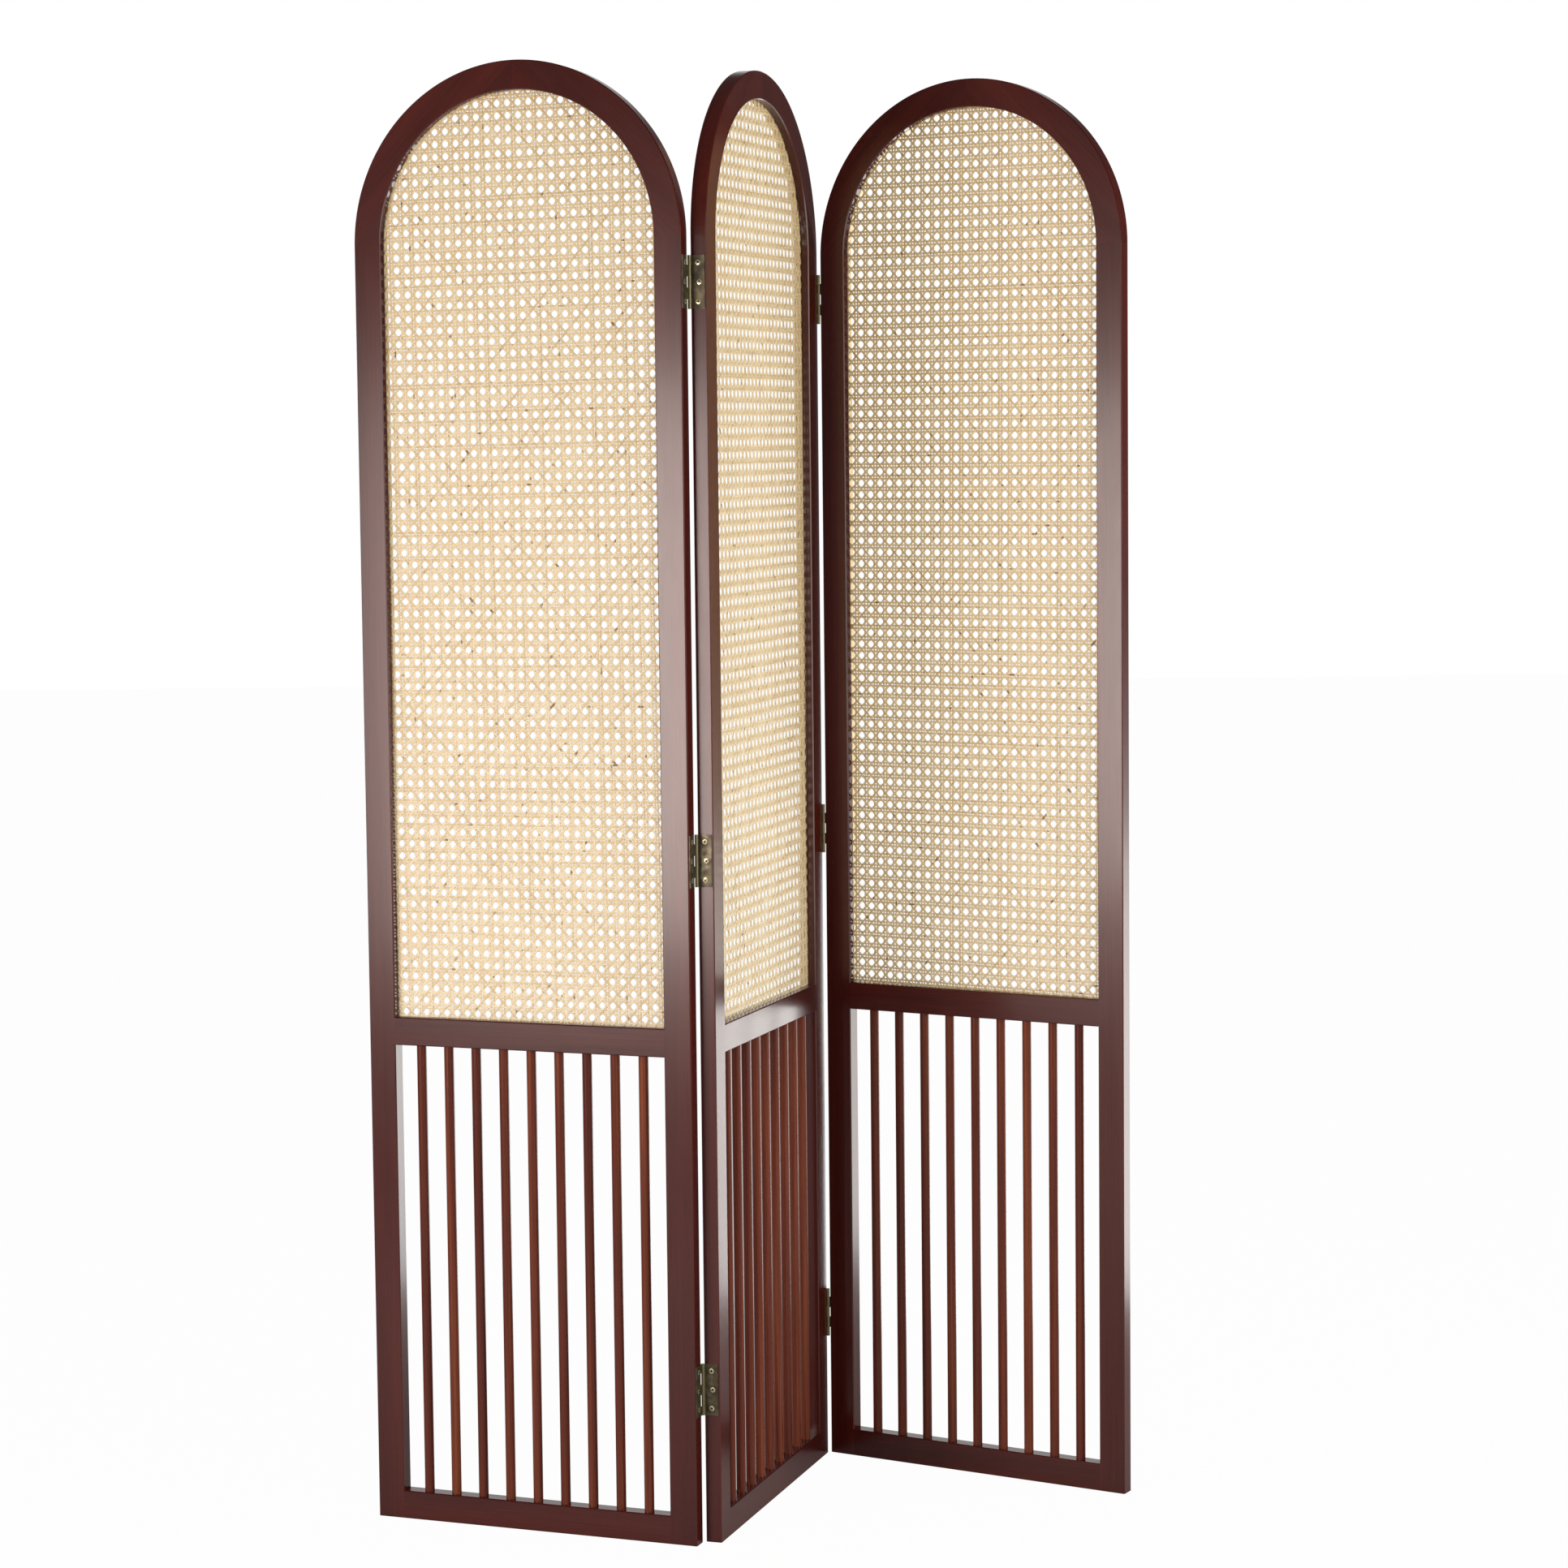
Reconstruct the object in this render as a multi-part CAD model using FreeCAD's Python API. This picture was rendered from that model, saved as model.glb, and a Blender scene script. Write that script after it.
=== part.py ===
import FreeCAD, Part
import os

# A three-panel folding screen with arched tops, woven cane above the middle rail and round spindles below it.
# A panel is laid out in its own frame: X from its left edge to its right edge, Y from its front face to its
# rear face, Z up from the floor. The panels then stand in the zigzag in which the screen rests. Millimetres.

# Panel
panel_width = 430.0
panel_height = 1800.0
panel_thickness = 20.0
stile_width = 35.0
rail_height = 35.0
lattice_height = 600.0
edge_easing = 1.2

# Cane sheet, and the rear rebate in which a bead holds it
cane_setback = 10.0
cane_thickness = 2.0
cane_clearance = 0.5
cane_openings_across = 8
cane_strip = 20.0
rebate_width = 8.0
bead_clearance = 0.2

# Tenons on the rails, and loose tenons in the arch
tenon_length = 22.0
tenon_thickness = 8.0
tenon_shoulder = 9.0
loose_tenon_length = 36.0
loose_tenon_width = 14.0
loose_tenon_thickness = 6.0
mortise_clearance = 0.1

# Spindles
spindle_count = 9
spindle_diameter = 12.0
spindle_seat = 12.0
spindle_clearance = 0.1

# Butt hinges: the lowest is placed from the floor, the highest from the spring line, the other from halfway
bottom_hinge_height = 190.0
top_hinge_drop = 55.0
middle_hinge_drop = 22.0
hinge_height = 63.5
leaf_width = 19.0
leaf_thickness = 1.2
barrel_diameter = 4.2
barrel_standoff = 1.0
centre_knuckle = 12.5
inner_knuckle = 14.3
knuckle_clearance = 0.3
outer_leaf_notch = 6.0
pin_diameter = 2.0
pin_clearance = 0.05

# Hinge screws
screw_head_diameter = 7.0
screw_shank_diameter = 3.4
screw_length = 16.0
screw_spacing = 23.2
screw_line = 10.6
screw_stagger = 1.5
screw_clearance = 0.05

# Angles of the panels in plan, in degrees from the X axis of the screen
left_panel_angle = -20.1
middle_panel_angle = 71.6
right_panel_angle = -30.2

# Worked-out sizes
arch_radius = panel_width / 2
spring_height = panel_height - arch_radius
middle_rail_top = lattice_height + rail_height
opening_width = panel_width - 2 * stile_width
rebate_inset = stile_width - rebate_width
mid_depth = panel_thickness / 2
edge_gap = barrel_diameter
top_hinge_height = spring_height - top_hinge_drop
hinge_centres = {
    "bottom": bottom_hinge_height,
    "middle": (bottom_hinge_height + top_hinge_height) / 2 - middle_hinge_drop,
    "top": top_hinge_height,
}
knuckle_ends = [
    -hinge_height / 2,
    -centre_knuckle / 2 - inner_knuckle,
    -centre_knuckle / 2,
    centre_knuckle / 2,
    centre_knuckle / 2 + inner_knuckle,
    hinge_height / 2,
]
last_knuckle = len(knuckle_ends) - 2
three_knuckles = (0, 2, last_knuckle)
two_knuckles = (1, 3)

# Each fold line's two leaves, the outer panel's first: panel, edge, and the face that the pin stands off
fold_lines = {
    "left": (("left", "right", "rear"), ("middle", "left", "rear")),
    "right": (("right", "left", "front"), ("middle", "right", "front")),
}
turned_over_hinge = ("left", "bottom")
panel_angles = {"left": left_panel_angle, "middle": middle_panel_angle, "right": right_panel_angle}

up = FreeCAD.Vector(0, 0, 1)


def box(x_range, y_range, z_range):
    """A block between two values on each axis."""
    low = FreeCAD.Vector(x_range[0], y_range[0], z_range[0])
    high = FreeCAD.Vector(x_range[1], y_range[1], z_range[1])
    size = high - low
    return Part.makeBox(size.x, size.y, size.z, low)


def arched_wire(inset, floor, front):
    """The panel's arched outline, drawn in by an inset, from a floor up at one depth."""
    left = inset
    right = panel_width - inset
    crown = FreeCAD.Vector(arch_radius, front, panel_height - inset)
    feet = [FreeCAD.Vector(x, front, floor) for x in (left, right)]
    springs = [FreeCAD.Vector(x, front, spring_height) for x in (left, right)]
    outline = [
        Part.makeLine(feet[0], feet[1]),
        Part.makeLine(feet[1], springs[1]),
        Part.Arc(springs[1], crown, springs[0]).toShape(),
        Part.makeLine(springs[0], feet[0]),
    ]
    return Part.Wire(outline)


def arched_slab(inset, floor, depth_range):
    """The arched outline as a slab between two depths."""
    face = Part.Face(arched_wire(inset, floor, depth_range[0]))
    return face.extrude(FreeCAD.Vector(0, depth_range[1] - depth_range[0], 0))


def eased(blank):
    """The blank with a small chamfer on every front and rear edge above the floor."""
    def is_eased(edge):
        bounds = edge.BoundBox
        on_face = round(bounds.YLength, 6) == 0
        return on_face and bounds.ZMax > edge_easing
    return blank.makeChamfer(edge_easing, [edge for edge in blank.Edges if is_eased(edge)])


def frame_blank():
    """The whole panel frame as one outline, which the members are then cut from, so their faces run flush."""
    full_depth = (0, panel_thickness)
    outline = arched_slab(0, 0, full_depth)
    cane_opening = arched_slab(stile_width, middle_rail_top, full_depth)
    between_stiles = (stile_width, panel_width - stile_width)
    lattice_opening = box(between_stiles, full_depth, (rail_height, lattice_height))
    blank = eased(outline.cut(cane_opening).cut(lattice_opening))
    rebate = arched_slab(rebate_inset, middle_rail_top - rebate_width, (cane_setback, panel_thickness))
    return blank.cut(rebate)


def rail_tenons(rail_bottom, clearance):
    """The tenons at both ends of a rail, or with a clearance the mortises that take them."""
    reach = tenon_length + clearance
    half = tenon_thickness / 2 + clearance
    depth = (mid_depth - half, mid_depth + half)
    low = rail_bottom + tenon_shoulder - clearance
    high = rail_bottom + rail_height - tenon_shoulder + clearance
    right = panel_width - stile_width
    return [
        box((stile_width - reach, stile_width), depth, (low, high)),
        box((right, right + reach), depth, (low, high)),
    ]


def loose_tenons(clearance):
    """The loose tenons at the two springs and the crown, or with a clearance the mortises that take them."""
    half_length = loose_tenon_length / 2 + clearance
    half_width = loose_tenon_width / 2 + clearance
    half_thick = loose_tenon_thickness / 2 + clearance
    depth = (mid_depth - half_thick, mid_depth + half_thick)
    middle_of_wood = rebate_inset / 2
    tenons = []
    for x in (middle_of_wood, panel_width - middle_of_wood):
        rise = (spring_height - half_length, spring_height + half_length)
        tenons.append(box((x - half_width, x + half_width), depth, rise))
    crown = panel_height - middle_of_wood
    span = (arch_radius - half_length, arch_radius + half_length)
    tenons.append(box(span, depth, (crown - half_width, crown + half_width)))
    return tenons


def spindles(clearance):
    """The row of spindles at even gaps, or with a clearance the drilled seats that take them."""
    gap = (opening_width - spindle_count * spindle_diameter) / (spindle_count + 1)
    pitch = gap + spindle_diameter
    first = stile_width + gap + spindle_diameter / 2
    foot = rail_height - spindle_seat
    length = lattice_height + spindle_seat - foot
    rods = []
    for number in range(spindle_count):
        base = FreeCAD.Vector(first + number * pitch, mid_depth, foot)
        rods.append(Part.makeCylinder(spindle_diameter / 2 + clearance, length, base))
    return rods


def panel_pieces():
    """The pieces of one panel in the panel's own frame, under the names that follow the panel's own."""
    blank = frame_blank()
    middle = panel_width / 2
    inner = (stile_width, panel_width - stile_width)
    depth = (0, panel_thickness)
    members = {
        "left_stile": box((0, stile_width), depth, (0, spring_height)),
        "right_stile": box((inner[1], panel_width), depth, (0, spring_height)),
        "left_arch": box((0, middle), depth, (spring_height, panel_height)),
        "right_arch": box((middle, panel_width), depth, (spring_height, panel_height)),
        "bottom_rail": box(inner, depth, (0, rail_height)),
        "middle_rail": box(inner, depth, (lattice_height, middle_rail_top)),
    }
    rail_bottoms = {"bottom_rail": 0, "middle_rail": lattice_height}
    mortises = loose_tenons(mortise_clearance)
    for rail_bottom in rail_bottoms.values():
        mortises += rail_tenons(rail_bottom, mortise_clearance)
    seats = spindles(spindle_clearance)
    pieces = {}
    for name, region in members.items():
        member = blank.common(region)
        if name in rail_bottoms:
            member = member.cut(seats).fuse(rail_tenons(rail_bottoms[name], 0)).removeSplitter()
        else:
            member = member.cut(mortises)
        pieces[name] = member
    pieces["spindles"] = Part.makeCompound(spindles(0))
    pieces["loose_tenons"] = Part.makeCompound(loose_tenons(0))
    pieces["cane"] = cane_sheet()
    pieces["cane_bead"] = cane_beads()
    return pieces


def cane_openings():
    """The square openings of the cane sheet, in rows up the panel, as far as they clear the arch."""
    pitch = opening_width / cane_openings_across
    half = (pitch - cane_strip) / 2
    rows = int((panel_height - stile_width - middle_rail_top) / pitch)
    openings = []
    for row in range(rows):
        z = middle_rail_top + (row + 0.5) * pitch
        for column in range(cane_openings_across):
            x = stile_width + (column + 0.5) * pitch
            rise = max(z + half - spring_height, 0)
            far_corner = FreeCAD.Vector(abs(x - arch_radius) + half, 0, rise)
            if far_corner.Length < opening_width / 2:
                sides = [(-half, -half), (half, -half), (half, half), (-half, half), (-half, -half)]
                corners = [FreeCAD.Vector(x + across, cane_setback, z + along) for across, along in sides]
                openings.append(Part.makePolygon(corners))
    return openings


def cane_sheet():
    """The cane as one flat sheet with a plain grid of openings."""
    floor = middle_rail_top - rebate_width + cane_clearance
    outline = arched_wire(rebate_inset + cane_clearance, floor, cane_setback)
    face = Part.makeFace([outline] + cane_openings(), "Part::FaceMakerBullseye")
    return face.extrude(FreeCAD.Vector(0, cane_thickness, 0))


def cane_beads():
    """The bent bead round the sides and the arch, and the straight bead that lies along the middle rail."""
    depth = (cane_setback + cane_thickness, panel_thickness)
    floor = middle_rail_top - rebate_width + bead_clearance
    outer = arched_slab(rebate_inset + bead_clearance, floor, depth)
    inner = arched_slab(stile_width, middle_rail_top, depth)
    ring = outer.cut(inner)
    everything_above = box((0, panel_width), depth, (middle_rail_top, panel_height))
    return Part.makeCompound([ring.common(everything_above), ring.cut(everything_above)])


def screw(clearance):
    """A countersunk screw along +X with its flat head on X = 0, or with a clearance the hole for it."""
    head = screw_head_diameter / 2 + clearance
    shank = screw_shank_diameter / 2 + clearance
    length = screw_length + clearance
    corners = [(0, 0), (0, head), (leaf_thickness, shank), (length, shank), (length, 0)]
    points = [FreeCAD.Vector(x, y, 0) for x, y in corners]
    profile = Part.Face(Part.makePolygon(points + points[:1]))
    return profile.revolve(FreeCAD.Vector(0, 0, 0), FreeCAD.Vector(1, 0, 0), 360)


def leaf_screws(clearance):
    """The three screws of a leaf in the hinge's frame, or with a clearance the holes that take them."""
    face = edge_gap / 2 - leaf_thickness
    places = [
        (screw_line, -screw_spacing),
        (screw_line + screw_stagger, 0),
        (screw_line, screw_spacing),
    ]
    screws = []
    for reach, height in places:
        one = screw(clearance)
        one.translate(FreeCAD.Vector(face, reach, height))
        screws.append(one)
    return screws


def leaf(knuckles, notch):
    """A hinge leaf notched beside its knuckles, pin on the Z axis, wood past +X, plate towards +Y."""
    radius = barrel_diameter / 2
    plate_depth = (edge_gap / 2 - leaf_thickness, edge_gap / 2)
    solid = box(plate_depth, (notch, leaf_width), (-hinge_height / 2, hinge_height / 2))
    for number in knuckles:
        low = knuckle_ends[number] + knuckle_clearance / 2 * (number > 0)
        high = knuckle_ends[number + 1] - knuckle_clearance / 2 * (number < last_knuckle)
        root = box(plate_depth, (0, notch), (low, high))
        barrel = Part.makeCylinder(radius, high - low, up * low)
        solid = solid.fuse([root, barrel])
    bore = Part.makeCylinder(pin_diameter / 2 + pin_clearance, hinge_height, up * (-hinge_height / 2))
    return solid.removeSplitter().cut([bore] + leaf_screws(screw_clearance))


def hinge_pin():
    """The pin of a hinge, as long as the barrel."""
    return Part.makeCylinder(pin_diameter / 2, hinge_height, up * (-hinge_height / 2))


def turned(shape, axis):
    """A copy of a shape turned half round about an axis through the origin."""
    copy = shape.copy()
    copy.rotate(FreeCAD.Vector(0, 0, 0), axis, 180)
    return copy


def on_edge(shape, edge, side, height):
    """A hinge piece moved to a panel's left or right edge, with its pin off the rear face or the front."""
    half_turns = {
        ("left", "rear"): FreeCAD.Vector(1, 0, 0),
        ("right", "rear"): FreeCAD.Vector(0, 0, 1),
        ("right", "front"): FreeCAD.Vector(0, 1, 0),
    }
    half_turn = half_turns.get((edge, side))
    placed = turned(shape, half_turn) if half_turn else shape.copy()
    placed.translate(pin_place(edge, side) + up * height)
    return placed


def pin_place(edge, side):
    """Where the pin stands in a panel's frame, off one edge and off the rear face or the front."""
    x = -edge_gap / 2 if edge == "left" else panel_width + edge_gap / 2
    y = panel_thickness + barrel_standoff if side == "rear" else -barrel_standoff
    return FreeCAD.Vector(x, y, 0)


def swing(point, angle):
    """A plan vector of a panel's frame turned by the panel's angle."""
    return FreeCAD.Rotation(up, angle).multVec(point)


def panel_corners():
    """Where each panel's own origin stands in plan, with the middle panel's at zero."""
    left_pin = swing(pin_place("left", "rear"), panel_angles["middle"])
    right_pin = swing(pin_place("right", "front"), panel_angles["middle"])
    return {
        "left": left_pin - swing(pin_place("right", "rear"), panel_angles["left"]),
        "middle": FreeCAD.Vector(0, 0, 0),
        "right": right_pin - swing(pin_place("left", "front"), panel_angles["right"]),
    }


def placements():
    """Each panel's placement, with the screen's origin on the floor under the middle of its bounding box."""
    corners = panel_corners()
    bounds = FreeCAD.BoundBox()
    for name, corner in corners.items():
        outline = box((0, panel_width), (0, panel_thickness), (0, panel_height))
        plan = [vertex.Point for vertex in eased(outline).Vertexes]
        for point in plan:
            bounds.add(corner + swing(point, panel_angles[name]))
    origin = FreeCAD.Vector(bounds.Center.x, bounds.Center.y, 0)
    return {
        name: FreeCAD.Placement(corner - origin, FreeCAD.Rotation(up, panel_angles[name]))
        for name, corner in corners.items()
    }


def hinge_pieces():
    """The leaves and pins by name, and the screws and their holes by panel, all in the panels' own frames."""
    notches = (outer_leaf_notch, barrel_diameter / 2 + knuckle_clearance)
    pieces = {panel: {} for panel in panel_angles}
    screws = {panel: [] for panel in panel_angles}
    holes = {panel: [] for panel in panel_angles}
    for fold, leaf_sides in fold_lines.items():
        for level, height in hinge_centres.items():
            hinge = f"{fold}_fold_{level}_hinge"
            knuckle_sets = [two_knuckles, three_knuckles]
            if (fold, level) == turned_over_hinge:
                knuckle_sets.reverse()
            for knuckles, notch, (panel, edge, side) in zip(knuckle_sets, notches, leaf_sides):
                plate = leaf(knuckles, notch)
                pieces[panel][f"{hinge}_leaf_on_{panel}_panel"] = on_edge(plate, edge, side, height)
                if knuckles is three_knuckles:
                    pieces[panel][f"{hinge}_pin"] = on_edge(hinge_pin(), edge, side, height)
                screws[panel] += [on_edge(one, edge, side, height) for one in leaf_screws(0)]
                holes[panel] += [on_edge(one, edge, side, height) for one in leaf_screws(screw_clearance)]
    for panel, group in screws.items():
        pieces[panel][f"{panel}_panel_hinge_screws"] = Part.makeCompound(group)
    return pieces, holes


def main():
    os.makedirs("parts", exist_ok=True)
    wood = panel_pieces()
    hardware, screw_holes = hinge_pieces()
    for panel, stand in placements().items():
        pieces = {f"{panel}_panel_{name}": shape.copy() for name, shape in wood.items()}
        for stile in (f"{panel}_panel_left_stile", f"{panel}_panel_right_stile"):
            pieces[stile] = pieces[stile].cut(screw_holes[panel])
        pieces.update(hardware[panel])
        for name, piece in pieces.items():
            piece.Placement = stand.multiply(piece.Placement)
            piece.exportStep(f"parts/{name}.step")


main()
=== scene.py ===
# %% [markdown]
# # A rattan folding screen
# This lesson dresses a folding screen that was drawn in CAD. The wooden frames and hinges arrive as
# finished solids, so here they only get their finishes. The woven cane and the screw heads are too fine to
# draw there, and are made in Blender with Geometry Nodes. Everything is in metres, and the screen stands on
# the floor at z = 0.

# %% Load the CAD model
import math

import bpy
import numpy as np
from mathutils import Matrix, Vector


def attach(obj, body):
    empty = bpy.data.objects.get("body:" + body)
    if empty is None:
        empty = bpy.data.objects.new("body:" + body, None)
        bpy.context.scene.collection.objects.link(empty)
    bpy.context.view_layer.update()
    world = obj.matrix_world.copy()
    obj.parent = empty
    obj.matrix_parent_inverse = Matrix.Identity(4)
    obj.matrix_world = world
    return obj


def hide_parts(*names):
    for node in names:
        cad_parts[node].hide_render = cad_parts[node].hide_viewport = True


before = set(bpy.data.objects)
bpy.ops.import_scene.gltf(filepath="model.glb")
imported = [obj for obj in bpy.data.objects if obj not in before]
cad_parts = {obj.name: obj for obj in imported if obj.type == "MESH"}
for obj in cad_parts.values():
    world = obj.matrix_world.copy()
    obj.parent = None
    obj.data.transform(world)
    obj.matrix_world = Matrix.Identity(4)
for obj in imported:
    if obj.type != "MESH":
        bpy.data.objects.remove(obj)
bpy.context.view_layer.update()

panels = ("left", "middle", "right")

# %% [markdown]
# ## Short calls for nodes
# Blender builds a finish or a Geometry Nodes tree from nodes and links. A few short calls keep the recipes
# readable: `add` makes a node and fills its inputs with plain values or with other nodes' outputs, `out`
# hands back one output of such a node, and `calc` adds one step of arithmetic. `point` and `parts` join
# three numbers into a vector and take it apart again. All of them work in shader trees and in geometry
# trees.

# %% Node helpers
def plug(tree, socket, value):
    """Fill an input with a plain value, or link it to another node's output."""
    if isinstance(value, bpy.types.NodeSocket):
        tree.links.new(value, socket)
    else:
        socket.default_value = value


def add(tree, kind, inputs=None, **settings):
    """A new node with its settings made and its inputs filled."""
    node = tree.nodes.new(kind)
    for name, value in settings.items():
        setattr(node, name, value)
    for key, value in (inputs or {}).items():
        plug(tree, node.inputs[key], value)
    return node


def out(tree, kind, inputs=None, output=0, **settings):
    """One output of a new node, by default its first."""
    return add(tree, kind, inputs, **settings).outputs[output]


def calc(tree, operation, *values):
    """One step of arithmetic, as the output of a Math node."""
    node = tree.nodes.new("ShaderNodeMath")
    node.operation = operation
    for socket, value in zip(node.inputs, values):
        plug(tree, socket, value)
    return node.outputs[0]


def point(tree, x=0.0, y=0.0, z=0.0):
    """A vector from three numbers."""
    return out(tree, "ShaderNodeCombineXYZ", {"X": x, "Y": y, "Z": z})


def parts(tree, vector):
    """The three numbers of a vector, under the names X, Y and Z."""
    return add(tree, "ShaderNodeSeparateXYZ", {"Vector": vector}).outputs


def spread(tree, value, low, high, new_low, new_high, **settings):
    """A value carried from one range to another."""
    inputs = {"Value": value, "From Min": low, "From Max": high, "To Min": new_low, "To Max": new_high}
    return out(tree, "ShaderNodeMapRange", inputs, "Result", **settings)


# %% [markdown]
# ## The camera
# The photograph was taken from about four and a half metres away, a little above the middle of the screen,
# with the lens tipped slightly down. A long lens keeps the upright lines nearly parallel.

# %% Camera
camera_place = Vector((0.04197, -4.44692, 1.2737))
camera_tilt = math.radians(90 - 4.63)
camera_roll = math.radians(-0.60)
sensor_width = 36.0
lens_length = 81.286
farthest_view = 100.0

camera = bpy.data.objects.new("camera", bpy.data.cameras.new("camera"))
bpy.context.scene.collection.objects.link(camera)
camera.data.sensor_width = sensor_width
camera.data.lens = lens_length
camera.data.clip_end = farthest_view
aim = Matrix.Rotation(camera_tilt, 4, "X") @ Matrix.Rotation(camera_roll, 4, "Z")
camera.matrix_world = Matrix.Translation(camera_place) @ aim
bpy.context.scene.camera = camera
print("camera at", [round(x, 3) for x in camera.location], "lens", camera.data.lens, "mm")

# %% [markdown]
# ## The studio
# The screen stands before a white backdrop. The world is plain white where the camera looks at it, and
# where a reflection looks straight back at the backdrop. The rest of the room is dimmer, so that the dark
# lacquer stays dark. Five softboxes shape the light. A warm one in front on the left, at the height of the
# cane, leaves a soft glare half way up the stiles. A wide one lies on the floor behind on the right, where
# the side faces of the frames mirror it, and a small one lies nearer for the faces that look there. A fill
# on the right lights the middle panel, which turns away from the first lamp, and a weak fill in front lifts
# the right panel.

# %% World
ambient_light = 0.54
room_reflection = 0.06
backdrop_ends, backdrop_full = 0.85, 0.97

world = bpy.data.worlds.new("white_studio")
world.use_nodes = True
bpy.context.scene.world = world
sky = world.node_tree
rays = add(sky, "ShaderNodeLightPath").outputs
backwards = parts(sky, out(sky, "ShaderNodeTexCoord", output="Generated"))["Y"]
backdrop = spread(sky, backwards, backdrop_ends, backdrop_full, room_reflection, 1.0,
                  interpolation_type="SMOOTHSTEP")
mirrored = calc(sky, "MAXIMUM", rays["Is Glossy Ray"], rays["Is Transmission Ray"])
level = out(sky, "ShaderNodeMix", {0: mirrored, 2: ambient_light, 3: backdrop})
level = calc(sky, "MAXIMUM", level, rays["Is Camera Ray"])
background = sky.nodes["Background"]
background.inputs["Color"].default_value = (1.0, 1.0, 1.0, 1.0)
sky.links.new(level, background.inputs["Strength"])
bpy.context.scene.view_settings.view_transform = "Standard"
print("world lights the scene at", ambient_light)


# %% Softboxes
def softbox(name, place, target, size, watts, colour=(1.0, 1.0, 1.0)):
    """A large soft lamp that faces a target. The camera doesn't see it, but reflections do."""
    lamp = bpy.data.lights.new(name, "AREA")
    lamp.shape = "RECTANGLE"
    lamp.size, lamp.size_y = size
    lamp.energy = watts
    lamp.color = colour
    box = bpy.data.objects.new(name, lamp)
    bpy.context.scene.collection.objects.link(box)
    facing = (Vector(target) - Vector(place)).to_track_quat("-Z", "Y")
    box.matrix_world = Matrix.Translation(place) @ facing.to_matrix().to_4x4()
    box.visible_camera = False


warm, cream, ivory = (1.0, 0.86, 0.80), (1.0, 0.93, 0.83), (1.0, 0.985, 0.95)
softbox("front_softbox", place=(-1.57, -1.69, 0.98), target=(-0.05, -0.1, 1.08), size=(0.75, 1.0),
        watts=27.0, colour=warm)
softbox("low_softbox", place=(4.3, 3.6, 0.01), target=(4.3, 3.6, 1.0), size=(6.0, 6.0),
        watts=480.0, colour=ivory)
softbox("near_low_softbox", place=(0.75, 1.55, 0.02), target=(0.75, 1.55, 1.0), size=(1.0, 1.5), watts=18.0)
softbox("right_fill", place=(2.7, -1.0, 1.25), target=(0.02, 0.0, 1.1), size=(1.6, 1.8),
        watts=44.0, colour=cream)
softbox("front_fill", place=(1.3, -2.2, 1.2), target=(0.3, 0.1, 1.1), size=(1.0, 1.2), watts=10.0)

# %% Floor
floor_size = 40.0
floor_grey = 0.55
floor_whiteness = 0.975

floor_mesh = bpy.data.meshes.new("floor")
half = floor_size / 2
floor_corners = [(-half, -half, 0), (half, -half, 0), (half, half, 0), (-half, half, 0)]
floor_mesh.from_pydata(floor_corners, [], [(0, 1, 2, 3)])
floor = bpy.data.objects.new("floor", floor_mesh)
bpy.context.scene.collection.objects.link(floor)
pale = bpy.data.materials.new("pale_floor")
pale.use_nodes = True
boards = pale.node_tree
boards.nodes.clear()
seen = out(boards, "ShaderNodeLightPath", output="Is Camera Ray")
matt = out(boards, "ShaderNodeBsdfDiffuse", {"Color": (floor_grey, floor_grey, floor_grey, 1.0)})
white = out(boards, "ShaderNodeEmission", {"Color": (1.0, 1.0, 1.0, 1.0), "Strength": 1.0})
whiteness = calc(boards, "MULTIPLY", seen, floor_whiteness)
surface = out(boards, "ShaderNodeMixShader", {0: whiteness, 1: matt, 2: white})
add(boards, "ShaderNodeOutputMaterial", {"Surface": surface})
floor_mesh.materials.append(pale)
print("floor", floor_size, "m wide")

# %% [markdown]
# ## Finishes from noise
# Every finish here is drawn by noise that is stretched along the grain, the brushing or the strand. A ramp
# turns the noise into tones, the same noise varies the roughness, and a faint bump lets the light catch it.

# %% Finish helpers
noise_roughness = 0.55
noise_low, noise_high = 0.3, 0.7


def new_finish(name):
    """A new material, with its node tree and its shader."""
    material = bpy.data.materials.new(name)
    material.use_nodes = True
    tree = material.node_tree
    return material, tree, tree.nodes["Principled BSDF"]


def noise(tree, vector, scale, detail):
    """Noise stretched by a scale on each axis, in cycles per metre."""
    stretched = out(tree, "ShaderNodeMapping", {"Vector": vector, "Scale": scale})
    inputs = {"Vector": stretched, "Scale": 1.0, "Detail": detail, "Roughness": noise_roughness}
    return out(tree, "ShaderNodeTexNoise", inputs, "Fac")


def ramp(tree, factor, places, colours):
    """A colour ramp with a colour at each place."""
    node = add(tree, "ShaderNodeValToRGB", {"Fac": factor})
    elements = node.color_ramp.elements
    while len(elements) < len(places):
        elements.new(0.5)
    for element, place, colour in zip(elements, places, colours):
        element.position = place
        element.color = (*colour, 1.0)
    return node.outputs["Color"]


def blend(tree, share, first, second, way="MIX"):
    """Two colours mixed by a share, or multiplied."""
    inputs = {0: share, 6: first, 7: second}
    return out(tree, "ShaderNodeMix", inputs, 2, data_type="RGBA", blend_type=way)


def relief(tree, shader, height, strength, depth):
    """A bump on the shader's surface."""
    bump = out(tree, "ShaderNodeBump", {"Strength": strength, "Distance": depth, "Height": height})
    tree.links.new(bump, shader.inputs["Normal"])
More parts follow.
